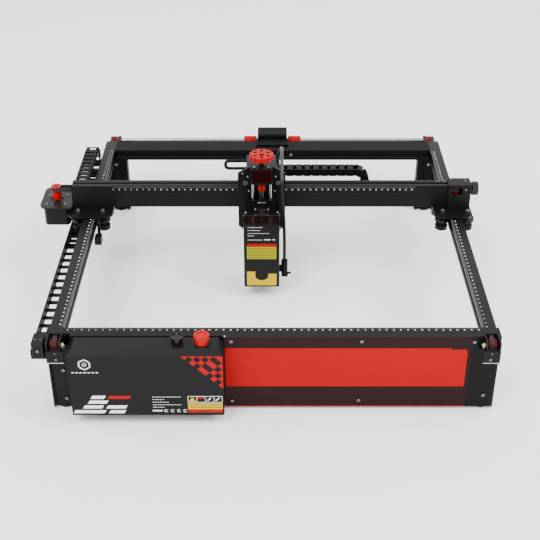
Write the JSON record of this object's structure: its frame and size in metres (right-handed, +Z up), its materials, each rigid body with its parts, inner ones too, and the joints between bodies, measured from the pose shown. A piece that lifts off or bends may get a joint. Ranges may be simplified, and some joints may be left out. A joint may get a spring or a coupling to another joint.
{
  "type": "desktop laser cutter",
  "caption": "Open-frame desktop laser cutter: belt-driven gantry and carriage on extruded rails, laser head on a hand-set height slide, front control box with stop button.",
  "frame": {"origin": "middle of the whole machine's footprint, on the surface it stands on", "axes": "+X to the machine's right, +Y to its rear, +Z up"},
  "size_m": [0.736, 0.7106, 0.241],
  "materials": {
    "black_metal": "matt black anodised or powder-coated metal",
    "black_plate": "satin black sheet metal",
    "dark_acrylic": "glossy dark tinted acrylic",
    "red_acrylic": "glossy red acrylic",
    "red_anodised": "bright red anodised aluminium",
    "red_plastic": "glossy red plastic",
    "black_plastic": "matt black moulded plastic",
    "steel": "bright steel",
    "bolt_steel": "zinc-plated fasteners",
    "rubber": "black rubber",
    "board": "green circuit board",
    "motor": "black stepper motor",
    "grey_plate": "satin dark grey plate",
    "lens": "turned aluminium",
    "knob": "dark grey knurled knob",
    "head": "dark grey anodised aluminium"
  },
  "bodies": {
    "frame": {"front_housing": "black_metal", "front_panel": "dark_acrylic", "red_window": "red_acrylic", "control_box_cover": "black_plate", "control_board": "board", "y_rails": "black_metal", "rear_frame": "black_metal", "rubber_feet": "rubber", "cable_tray": "black_plate", "y_motor": "motor", "frame_brackets": "black_plate", "y_belts": "rubber", "frame_screws": "bolt_steel"},
    "sync_shaft": {"sync_shaft": "steel", "shaft_pulleys": "red_anodised"},
    "front_idler_left": {"front_idler_left": "red_anodised"},
    "front_idler_right": {"front_idler_right": "red_anodised"},
    "emergency_stop": {"emergency_stop": "red_plastic"},
    "key_switch": {"key_switch": "black_plastic"},
    "gantry": {"gantry_beam": "black_metal", "gantry_end_blocks": "black_plate", "carriage_plates": "black_plate", "motor_plate": "grey_plate", "x_motor": "motor", "x_belt": "rubber", "wheel_bolts": "bolt_steel", "wheel_discs": "black_plastic", "y_chain_upper": "black_plastic"},
    "y_chain": {"y_chain_bend": "black_plastic"},
    "x_motor_pulley": {"x_motor_pulley": "red_anodised"},
    "x_idler": {"x_idler": "red_anodised"},
    "tension_knob": {"tension_knob": "knob"},
    "x_carriage": {"carriage_plate": "black_plate", "carriage_bolts": "bolt_steel", "hose_guide": "black_plastic", "slide_blocks": "black_metal", "guide_rods": "steel", "x_chain_upper": "black_plastic"},
    "x_chain": {"x_chain_bend": "black_plastic"},
    "z_screw": {"lead_screw": "steel", "z_knob": "red_anodised"},
    "laser_head": {"z_carrier": "black_metal", "laser_housing": "head", "laser_lens": "lens", "heat_sink": "head", "air_nozzle": "black_plastic", "air_hose": "rubber"},
    "fan_rotor": {"fan_rotor": "black_plastic"},
    "wheel_left_inner_front": {"wheel_left_inner_front": "black_plastic"},
    "wheel_left_inner_rear": {"wheel_left_inner_rear": "black_plastic"},
    "wheel_left_outer_front": {"wheel_left_outer_front": "black_plastic"},
    "wheel_left_outer_rear": {"wheel_left_outer_rear": "black_plastic"},
    "wheel_right_inner_front": {"wheel_right_inner_front": "black_plastic"},
    "wheel_right_inner_rear": {"wheel_right_inner_rear": "black_plastic"},
    "wheel_right_outer_front": {"wheel_right_outer_front": "black_plastic"},
    "wheel_right_outer_rear": {"wheel_right_outer_rear": "black_plastic"},
    "carriage_wheel_left_upper": {"carriage_wheel_left_upper": "black_plastic"},
    "carriage_wheel_left_lower": {"carriage_wheel_left_lower": "black_plastic"},
    "carriage_wheel_right_upper": {"carriage_wheel_right_upper": "black_plastic"},
    "carriage_wheel_right_lower": {"carriage_wheel_right_lower": "black_plastic"}
  },
  "joints": [
    {"name": "gantry_slide", "type": "slide", "parent": "frame", "child": "gantry", "axis": [0, 1, 0], "range_m": [-0.266, 0.178]},
    {"name": "carriage_slide", "type": "slide", "parent": "gantry", "child": "x_carriage", "axis": [1, 0, 0], "range_m": [-0.208, 0.242]},
    {"name": "z_slide", "type": "slide", "parent": "x_carriage", "child": "laser_head", "axis": [0, 0, 1], "range_m": [-0.018, 0.015], "deforming": ["air_hose"]},
    {"name": "z_screw_turn", "type": "hinge", "parent": "x_carriage", "child": "z_screw", "pos_m": [0.0047, 0.03125, 0.15], "axis": [0, 0, 1], "range_deg": [-1360, 1630]},
    {"name": "fan_spin", "type": "hinge", "parent": "laser_head", "child": "fan_rotor", "pos_m": [0.0047, 0.01215, 0.138], "axis": [0, 0, 1], "continuous": true},
    {"name": "emergency_stop_press", "type": "slide", "parent": "frame", "child": "emergency_stop", "axis": [0, 0, 1], "range_m": [-0.004, 0], "stiffness_N_per_m": 800, "springref_m": 0.0006},
    {"name": "key_turn", "type": "hinge", "parent": "frame", "child": "key_switch", "pos_m": [-0.11, -0.33575, 0.135], "axis": [0, 0, 1], "range_deg": [0, 90]},
    {"name": "tension_turn", "type": "hinge", "parent": "gantry", "child": "tension_knob", "pos_m": [0.363, 0.05625, 0.163], "axis": [1, 0, 0], "range_deg": [-360, 360]},
    {"name": "wheel_left_inner_front_roll", "type": "hinge", "parent": "gantry", "child": "wheel_left_inner_front", "pos_m": [-0.2621, 0.03025, 0.119], "axis": [0, 0, 1], "range_deg": [-1409, 946]},
    {"name": "wheel_left_inner_rear_roll", "type": "hinge", "parent": "gantry", "child": "wheel_left_inner_rear", "pos_m": [-0.2621, 0.07825, 0.119], "axis": [0, 0, 1], "range_deg": [-1409, 946]},
    {"name": "wheel_left_outer_front_roll", "type": "hinge", "parent": "gantry", "child": "wheel_left_outer_front", "pos_m": [-0.3039, 0.03025, 0.119], "axis": [0, 0, 1], "range_deg": [-946, 1409]},
    {"name": "wheel_left_outer_rear_roll", "type": "hinge", "parent": "gantry", "child": "wheel_left_outer_rear", "pos_m": [-0.3039, 0.07825, 0.119], "axis": [0, 0, 1], "range_deg": [-946, 1409]},
    {"name": "wheel_right_inner_front_roll", "type": "hinge", "parent": "gantry", "child": "wheel_right_inner_front", "pos_m": [0.3081, 0.03025, 0.119], "axis": [0, 0, 1], "range_deg": [-946, 1409]},
    {"name": "wheel_right_inner_rear_roll", "type": "hinge", "parent": "gantry", "child": "wheel_right_inner_rear", "pos_m": [0.3081, 0.07825, 0.119], "axis": [0, 0, 1], "range_deg": [-946, 1409]},
    {"name": "wheel_right_outer_front_roll", "type": "hinge", "parent": "gantry", "child": "wheel_right_outer_front", "pos_m": [0.3499, 0.03025, 0.119], "axis": [0, 0, 1], "range_deg": [-1409, 946]},
    {"name": "wheel_right_outer_rear_roll", "type": "hinge", "parent": "gantry", "child": "wheel_right_outer_rear", "pos_m": [0.3499, 0.07825, 0.119], "axis": [0, 0, 1], "range_deg": [-1409, 946]},
    {"name": "carriage_wheel_left_upper_roll", "type": "hinge", "parent": "x_carriage", "child": "carriage_wheel_left_upper", "pos_m": [-0.0223, 0.05625, 0.1839], "axis": [0, 1, 0], "range_deg": [-1104, 1283]},
    {"name": "carriage_wheel_left_lower_roll", "type": "hinge", "parent": "x_carriage", "child": "carriage_wheel_left_lower", "pos_m": [-0.0223, 0.05625, 0.1221], "axis": [0, 1, 0], "range_deg": [-1283, 1104]},
    {"name": "carriage_wheel_right_upper_roll", "type": "hinge", "parent": "x_carriage", "child": "carriage_wheel_right_upper", "pos_m": [0.0317, 0.05625, 0.1839], "axis": [0, 1, 0], "range_deg": [-1104, 1283]},
    {"name": "carriage_wheel_right_lower_roll", "type": "hinge", "parent": "x_carriage", "child": "carriage_wheel_right_lower", "pos_m": [0.0317, 0.05625, 0.1221], "axis": [0, 1, 0], "range_deg": [-1283, 1104]},
    {"name": "sync_shaft_turn", "type": "hinge", "parent": "frame", "child": "sync_shaft", "pos_m": [0.023, 0.33625, 0.119], "axis": [1, 0, 0], "range_deg": [-1556, 2320]},
    {"name": "front_idler_left_turn", "type": "hinge", "parent": "frame", "child": "front_idler_left", "pos_m": [-0.283, -0.32425, 0.119], "axis": [1, 0, 0], "range_deg": [-1556, 2320]},
    {"name": "front_idler_right_turn", "type": "hinge", "parent": "frame", "child": "front_idler_right", "pos_m": [0.329, -0.32425, 0.119], "axis": [1, 0, 0], "range_deg": [-1556, 2320]},
    {"name": "x_motor_pulley_turn", "type": "hinge", "parent": "gantry", "child": "x_motor_pulley", "pos_m": [-0.3415, 0.05625, 0.163], "axis": [0, 0, 1], "range_deg": [-2111, 1816]},
    {"name": "x_idler_turn", "type": "hinge", "parent": "gantry", "child": "x_idler", "pos_m": [0.331, 0.05625, 0.163], "axis": [0, 0, 1], "range_deg": [-2111, 1816]},
    {"name": "x_chain_roll", "type": "slide", "parent": "x_carriage", "child": "x_chain", "axis": [1, 0, 0], "range_m": [-0.121, 0.104], "deforming": ["x_chain_upper"]},
    {"name": "y_chain_roll", "type": "slide", "parent": "gantry", "child": "y_chain", "axis": [0, 1, 0], "range_m": [-0.089, 0.133], "deforming": ["y_chain_upper"]}
  ],
  "couplings": [
    {"joint": "z_screw_turn", "follows": "z_slide", "rad_per_m": -1570.8},
    {"joint": "wheel_left_inner_front_roll", "follows": "gantry_slide", "rad_per_m": 91.743},
    {"joint": "wheel_left_inner_rear_roll", "follows": "gantry_slide", "rad_per_m": 91.743},
    {"joint": "wheel_left_outer_front_roll", "follows": "gantry_slide", "rad_per_m": -91.743},
    {"joint": "wheel_left_outer_rear_roll", "follows": "gantry_slide", "rad_per_m": -91.743},
    {"joint": "wheel_right_inner_front_roll", "follows": "gantry_slide", "rad_per_m": -91.743},
    {"joint": "wheel_right_inner_rear_roll", "follows": "gantry_slide", "rad_per_m": -91.743},
    {"joint": "wheel_right_outer_front_roll", "follows": "gantry_slide", "rad_per_m": 91.743},
    {"joint": "wheel_right_outer_rear_roll", "follows": "gantry_slide", "rad_per_m": 91.743},
    {"joint": "carriage_wheel_left_upper_roll", "follows": "carriage_slide", "rad_per_m": 91.743},
    {"joint": "carriage_wheel_left_lower_roll", "follows": "carriage_slide", "rad_per_m": -91.743},
    {"joint": "carriage_wheel_right_upper_roll", "follows": "carriage_slide", "rad_per_m": 91.743},
    {"joint": "carriage_wheel_right_lower_roll", "follows": "carriage_slide", "rad_per_m": -91.743},
    {"joint": "sync_shaft_turn", "follows": "gantry_slide", "rad_per_m": -151.52},
    {"joint": "front_idler_left_turn", "follows": "gantry_slide", "rad_per_m": -151.52},
    {"joint": "front_idler_right_turn", "follows": "gantry_slide", "rad_per_m": -151.52},
    {"joint": "x_motor_pulley_turn", "follows": "carriage_slide", "rad_per_m": -151.52},
    {"joint": "x_idler_turn", "follows": "carriage_slide", "rad_per_m": -151.52},
    {"joint": "x_chain_roll", "follows": "carriage_slide", "ratio": -0.5},
    {"joint": "y_chain_roll", "follows": "gantry_slide", "ratio": -0.5}
  ]
}
